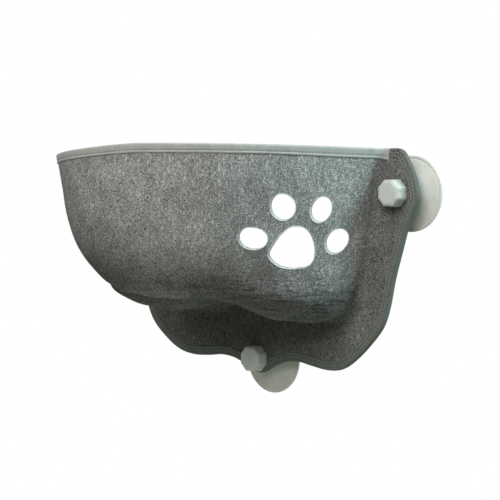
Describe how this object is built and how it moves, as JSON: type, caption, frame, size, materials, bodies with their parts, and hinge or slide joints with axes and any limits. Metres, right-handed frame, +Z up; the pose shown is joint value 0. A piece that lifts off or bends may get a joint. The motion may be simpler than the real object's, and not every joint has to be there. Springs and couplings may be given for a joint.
{
  "type": "window mounted cat perch",
  "caption": "Moulded felt bowl with a paw-shaped cut-out and a flat felt flange, held on a window by suction cups with screw-on knobs.",
  "frame": {"origin": "on the axis of the bottom stud, on the glass that the cups are pressed on", "axes": "+X runs along the window to the right as seen from the room, +Y points into the glass, +Z points up"},
  "size_m": [0.499, 0.282, 0.287],
  "materials": {
    "felt": "heathered needle felt, moulded",
    "binding": "smooth woven tape, stitched",
    "cup_rubber": "pale soft vinyl, slightly translucent, satin",
    "stud_plastic": "pale moulded plastic",
    "washer_plastic": "pale moulded plastic",
    "knob_plastic": "pale moulded plastic, satin"
  },
  "bodies": {
    "pod": {"felt_bowl": "felt", "felt_flange": "felt", "rim_binding": "binding", "flange_edging": "binding", "suction_cup_right": "cup_rubber", "suction_cup_left": "cup_rubber", "suction_cup_bottom": "cup_rubber", "stud_right": "stud_plastic", "stud_left": "stud_plastic", "stud_bottom": "stud_plastic"},
    "right_washer": {"washer_right": "washer_plastic"},
    "right_knob": {"knob_right": "knob_plastic"},
    "left_washer": {"washer_left": "washer_plastic"},
    "left_knob": {"knob_left": "knob_plastic"},
    "bottom_washer": {"washer_bottom": "washer_plastic"},
    "bottom_knob": {"knob_bottom": "knob_plastic"}
  },
  "joints": [
    {"name": "right_knob_travel", "type": "slide", "parent": "pod", "child": "right_washer", "axis": [0, -1, 0], "range_m": [0, 0.0088]},
    {"name": "right_knob_turn", "type": "hinge", "parent": "right_washer", "child": "right_knob", "pos_m": [0.207, -0.0282, 0.195], "axis": [0, -1, 0], "range_deg": [0, 1260]},
    {"name": "left_knob_travel", "type": "slide", "parent": "pod", "child": "left_washer", "axis": [0, -1, 0], "range_m": [0, 0.0088]},
    {"name": "left_knob_turn", "type": "hinge", "parent": "left_washer", "child": "left_knob", "pos_m": [-0.207, -0.0282, 0.195], "axis": [0, -1, 0], "range_deg": [0, 1260]},
    {"name": "bottom_knob_travel", "type": "slide", "parent": "pod", "child": "bottom_washer", "axis": [0, -1, 0], "range_m": [0, 0.0088]},
    {"name": "bottom_knob_turn", "type": "hinge", "parent": "bottom_washer", "child": "bottom_knob", "pos_m": [0, -0.0282, 0], "axis": [0, -1, 0], "range_deg": [0, 1260]}
  ],
  "couplings": [
    {"joint": "right_knob_travel", "follows": "right_knob_turn", "m_per_rad": 0.00039789},
    {"joint": "left_knob_travel", "follows": "left_knob_turn", "m_per_rad": 0.00039789},
    {"joint": "bottom_knob_travel", "follows": "bottom_knob_turn", "m_per_rad": 0.00039789}
  ]
}
